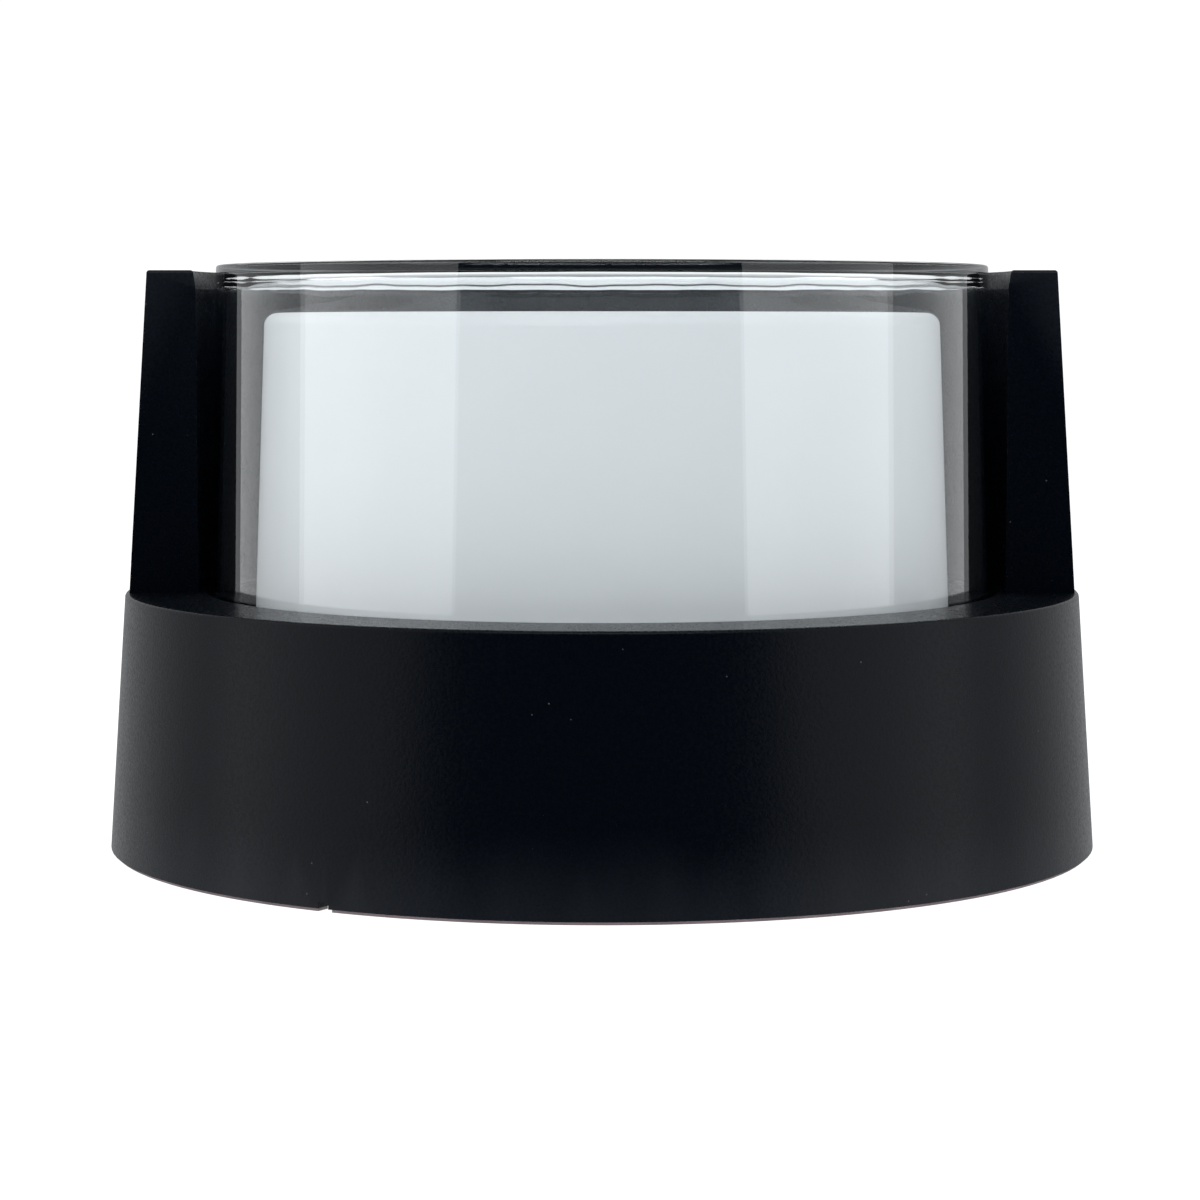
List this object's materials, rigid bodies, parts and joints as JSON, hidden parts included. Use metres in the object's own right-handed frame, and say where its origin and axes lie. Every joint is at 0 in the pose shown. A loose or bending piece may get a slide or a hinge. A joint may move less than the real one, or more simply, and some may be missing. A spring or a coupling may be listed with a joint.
{
  "type": "outdoor wall light",
  "caption": "Round surface-mounted outdoor wall light: tapered cast drum, half-round shield, clear cup over an opal diffuser.",
  "frame": {"origin": "centre of the light's wall side, in the wall plane", "axes": "+Z away from the wall, +Y towards the middle of the half-round shield, +X towards one side screw"},
  "size_m": [0.16, 0.16, 0.0938],
  "materials": {
    "powder_coat": "fine-textured black powder coat",
    "foam": "closed-cell foam, matt",
    "clear_plastic": "clear polished polycarbonate",
    "silicone": "soft silicone, satin",
    "opal": "opal white, satin",
    "bare_aluminium": "milled aluminium, brushed",
    "zinc_screw": "zinc plated",
    "thermal_pad": "soft grey pad, matt",
    "white_board": "white solder mask, satin",
    "led_phosphor": "yellow phosphor in white frames",
    "white_nylon": "moulded nylon, satin",
    "black_rubber": "soft black rubber, matt",
    "driver_white": "moulded white plastic",
    "circuit_board": "green solder mask",
    "transformer": "ferrite core under yellow tape",
    "capacitor": "sleeved aluminium cans",
    "terminal_grey": "moulded grey plastic",
    "lever_orange": "moulded orange plastic",
    "copper_alloy": "tinned copper alloy",
    "wire_brown": "brown insulation",
    "wire_blue": "blue insulation",
    "wire_green_yellow": "green and yellow insulation",
    "wire_red": "red insulation",
    "wire_black": "black insulation",
    "galvanised": "galvanised sheet, spangled",
    "black_screw": "black oxide steel"
  },
  "bodies": {
    "bracket": {"wall_bracket": "galvanised", "cable_grommet": "black_rubber"},
    "luminaire": {"housing": "powder_coat", "wall_gasket": "foam", "clear_cover": "clear_plastic", "cover_gasket": "silicone", "diffuser": "opal", "heat_plate": "bare_aluminium", "plate_screws": "zinc_screw", "thermal_pad": "thermal_pad", "led_board": "white_board", "led_chips": "led_phosphor", "board_screws": "zinc_screw", "board_connector": "white_nylon", "plate_grommet": "black_rubber", "driver_base": "driver_white", "driver_case": "driver_white", "driver_board": "circuit_board", "driver_transformer": "transformer", "driver_capacitors": "capacitor", "driver_screws": "zinc_screw", "terminal_block": "terminal_grey", "terminal_clamps": "copper_alloy", "terminal_screws": "zinc_screw", "earth_ring": "copper_alloy", "earth_screw": "zinc_screw", "live_wire": "wire_brown", "neutral_wire": "wire_blue", "earth_wire": "wire_green_yellow", "led_wire_positive": "wire_red", "led_wire_negative": "wire_black"},
    "left_tip": {"screw_tip_left": "white_nylon"},
    "right_tip": {"screw_tip_right": "white_nylon"},
    "left_screw": {"side_screw_left": "black_screw"},
    "right_screw": {"side_screw_right": "black_screw"},
    "live_lever": {"lever_live": "lever_orange"},
    "earth_lever": {"lever_earth": "lever_orange"},
    "neutral_lever": {"lever_neutral": "lever_orange"}
  },
  "joints": [
    {"name": "lift_off", "type": "slide", "parent": "bracket", "child": "luminaire", "axis": [0, 0, 1], "range_m": [0, 0.045]},
    {"name": "left_screw_travel", "type": "slide", "parent": "luminaire", "child": "left_tip", "axis": [-1, 0, 0], "range_m": [0, 0.0021]},
    {"name": "left_screw_turn", "type": "hinge", "parent": "left_tip", "child": "left_screw", "pos_m": [-0.0763, 0, 0.0137], "axis": [-1, 0, 0], "range_deg": [0, 1081]},
    {"name": "right_screw_travel", "type": "slide", "parent": "luminaire", "child": "right_tip", "axis": [1, 0, 0], "range_m": [0, 0.0021]},
    {"name": "right_screw_turn", "type": "hinge", "parent": "right_tip", "child": "right_screw", "pos_m": [0.0763, 0, 0.0137], "axis": [1, 0, 0], "range_deg": [0, 1081]},
    {"name": "live_lever_hinge", "type": "hinge", "parent": "luminaire", "child": "live_lever", "pos_m": [-0.0062, -0.033, 0.0259], "axis": [1, 0, 0], "range_deg": [0, 85]},
    {"name": "earth_lever_hinge", "type": "hinge", "parent": "luminaire", "child": "earth_lever", "pos_m": [0, -0.033, 0.0259], "axis": [1, 0, 0], "range_deg": [0, 85]},
    {"name": "neutral_lever_hinge", "type": "hinge", "parent": "luminaire", "child": "neutral_lever", "pos_m": [0.0062, -0.033, 0.0259], "axis": [1, 0, 0], "range_deg": [0, 85]}
  ],
  "couplings": [
    {"joint": "left_screw_turn", "follows": "left_screw_travel", "rad_per_m": 8976},
    {"joint": "right_screw_turn", "follows": "right_screw_travel", "rad_per_m": 8976}
  ]
}
